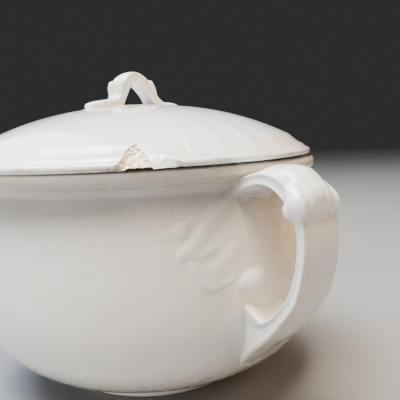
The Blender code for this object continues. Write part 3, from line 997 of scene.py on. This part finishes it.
def finish(look, colour, rough, normal):
    """The finished material, its clear coat as uneven as the glaze under it."""
    look.put(look.shader.inputs["Base Color"], colour)
    look.put(look.shader.inputs["Roughness"], rough)
    look.put(look.shader.inputs["Normal"], normal)
    look.put(look.shader.inputs["Coat Normal"], normal)
    return look.material


def pot_glaze():
    """The bowl's glaze, with a dark band on its rim's top under the lid's edge, and its foot ring ground
    bare.
    """
    look, colour, rough, normal = glaze("pot_glaze_look", cream=0.72, stains=0.16)
    streaks = look.step(look.noise(160.0, 3.0, 0.6, stretch=(1, 1, 0.5)), 0.2, 0.6, 0.78, 1.0)
    # The dark band on the rim's top, under the lid's edge, in streaks.
    colour = look.mix(look.times(look.painted("grime"), streaks), colour, RIM_TOP_DARK)
    ground = look.step(look.height(), 0.0009, 0.0003)
    grit = look.noise(420.0, 3.0, 0.7)
    bare = look.mix(look.step(grit, 0.40, 0.62), BISCUIT, BISCUIT_DARK)
    colour = look.mix(ground, colour, bare)
    rough = look.math("ADD", rough, look.times(ground, 0.5))
    return finish(look, colour, rough, normal)


def lid_glaze():
    """The lid's glaze, with brown stains on its edge and the bare ware of the broken flake."""
    look, colour, rough, normal = glaze("lid_glaze_look", cream=0.26, stains=0.20)
    stain = look.painted("stain")
    grain = look.noise(900.0, 4.0, 0.7, stretch=(1, 1, 2.4))
    spotted = look.times(stain, look.step(grain, 0.42, 0.60))
    colour = look.mix(look.times(stain, 0.45), colour, GLAZE_STAIN)
    colour = look.mix(look.times(spotted, 0.75), colour, IRON_BROWN)

    left = look.painted("rough_part")
    tan = look.step(look.noise(260.0, 4.0, 0.6), 0.35, 0.70)
    body = look.mix(tan, BROKEN_PALE, BROKEN_TAN)
    lines = look.step(look.noise(300.0, 3.0, 0.6, stretch=(1, 1, 3.5)), 0.64, 0.74)
    body = look.mix(look.times(lines, 0.55), body, BROKEN_BROWN)
    smooth = look.mix(look.noise(150.0, 3.0, 0.6), SHELL_WHITE, SHELL_GREY)
    bare = look.mix(left, smooth, body)
    colour = look.mix(look.painted("chip"), colour, bare)
    rough = look.math("ADD", rough, look.times(left, 0.35))
    return finish(look, colour, rough, normal)


def handle_glaze(name, cream, stains):
    return finish(*glaze(name, cream, stains))


# ---------------------------------------------------------------- stage

FLOOR_HALF = 3.0


def make_floor():
    mesh = bpy.data.meshes.new("floor")
    corners = [(-1, -1), (1, -1), (1, 1), (-1, 1)]
    mesh.from_pydata([(x * FLOOR_HALF, y * FLOOR_HALF, 0) for x, y in corners], [], [(0, 1, 2, 3)])
    floor = bpy.data.objects.new("floor", mesh)
    bpy.context.scene.collection.objects.link(floor)
    look = Look("floor_paint")
    look.put(look.shader.inputs["Base Color"], look.mix(look.noise(6.0), *FLOOR_GREYS))
    look.shader.inputs["Roughness"].default_value = 0.9
    floor.data.materials.append(look.material)


def area_light(name, place, target, size, power, colour):
    data = bpy.data.lights.new(name, "AREA")
    data.shape = "RECTANGLE"
    data.size = data.size_y = size
    data.energy = power
    data.color = colour
    lamp = bpy.data.objects.new(name, data)
    lamp.location = place
    lamp.rotation_euler = (Vector(target) - Vector(place)).to_track_quat("-Z", "Y").to_euler()
    bpy.context.scene.collection.objects.link(lamp)
    return lamp


# The camera stands off the bowl's axis in the direction of its bearing, looks a little down and to
# the right of the axis, and is rolled a little.
CAMERA_BEARING = math.radians(-32.0)
CAMERA_DISTANCE = 0.4089
CAMERA_HEIGHT = 0.1648
CAMERA_TURN = math.radians(-5.17)
CAMERA_PITCH = math.radians(-6.763)
CAMERA_ROLL = math.radians(-2.82)
CAMERA_LENS = 52.2
CAMERA_SENSOR = 36.0


def make_camera():
    """The camera, turned to its heading, tilted from straight down and then rolled."""
    data = bpy.data.cameras.new("camera")
    data.lens = CAMERA_LENS
    data.sensor_width = CAMERA_SENSOR
    data.clip_start = 0.01
    camera = bpy.data.objects.new("camera", data)
    out = Vector((math.cos(CAMERA_BEARING), math.sin(CAMERA_BEARING), 0.0))
    place = Vector(BOWL_AXIS) + out * CAMERA_DISTANCE + Vector((0, 0, CAMERA_HEIGHT))
    heading = CAMERA_BEARING + math.pi + CAMERA_TURN
    upright = Matrix.Rotation(heading - math.pi / 2, 4, "Z")
    tilt = Matrix.Rotation(math.pi / 2 + CAMERA_PITCH, 4, "X")
    roll = Matrix.Rotation(CAMERA_ROLL, 4, "Z")
    camera.matrix_world = Matrix.Translation(place) @ upright @ tilt @ roll
    bpy.context.scene.collection.objects.link(camera)
    bpy.context.scene.camera = camera


def camera_side(right, forward, up):
    """A place given from the bowl's axis, in metres: to the right as the camera sees it, away from
    the camera, and up."""
    out = Vector((math.cos(CAMERA_BEARING), math.sin(CAMERA_BEARING), 0.0))
    sideways = Vector((-out.y, out.x, 0.0))
    return Vector(BOWL_AXIS) + sideways * right - out * forward + Vector((0, 0, up))


# The height on the bowl's axis that the lights stand round and point at.
AIM_HEIGHT = 0.10


def polar(turn, rise, distance):
    """A place at a distance from the aim: its turn in degrees from the camera's side towards the
    camera's right, and its rise in degrees."""
    flat = distance * math.cos(math.radians(rise))
    return camera_side(
        flat * math.sin(math.radians(turn)),
        -flat * math.cos(math.radians(turn)),
        AIM_HEIGHT + distance * math.sin(math.radians(rise)),
    )


# Each light: its turn and rise in degrees, its distance and size in metres, its power in watts and its
# colour.
LIGHTS = {
    "window": (-86, 66, 1.4, 0.8, 44.0, (0.54, 0.74, 1.00)),
    "front": (-20, 74, 1.5, 0.8, 66.0, (1.00, 0.86, 0.66)),
    "low": (-56, 6, 1.8, 0.5, 19.0, (0.98, 0.96, 0.98)),
    "top": (0, 88, 1.4, 0.8, 8.0, (1.00, 0.96, 0.90)),
    "back": (178, 52, 1.5, 1.0, 15.0, (0.92, 0.97, 1.00)),
    "back_left": (-135, 42, 1.4, 0.9, 12.0, (0.90, 0.94, 1.00)),
    "right": (80, 28, 1.4, 0.9, 12.0, (1.00, 0.66, 0.42)),
}
# These light the glaze but are not mirrored in it.
UNMIRRORED = ("back", "low", "top", "right")
ROOM_COLOUR = (0.80, 0.81, 0.84)
ROOM_STRENGTH = 0.04


def make_lights():
    aim = camera_side(0.0, 0.0, AIM_HEIGHT)
    for name, (turn, rise, distance, size, power, colour) in LIGHTS.items():
        lamp = area_light(name, polar(turn, rise, distance), aim, size, power, colour)
        lamp.visible_glossy = name not in UNMIRRORED
    world = bpy.data.worlds.new("studio")
    world.use_nodes = True
    background = world.node_tree.nodes["Background"]
    background.inputs["Color"].default_value = (*ROOM_COLOUR, 1.0)
    background.inputs["Strength"].default_value = ROOM_STRENGTH
    bpy.context.scene.world = world


make_camera()
make_floor()
make_lights()
make_bowl(pot_glaze())
make_strap(handle_glaze("pot_handle_glaze_look", 0.38, 0.2))
make_lid(lid_glaze())
make_arch(handle_glaze("lid_handle_glaze_look", 0.30, 0.2))
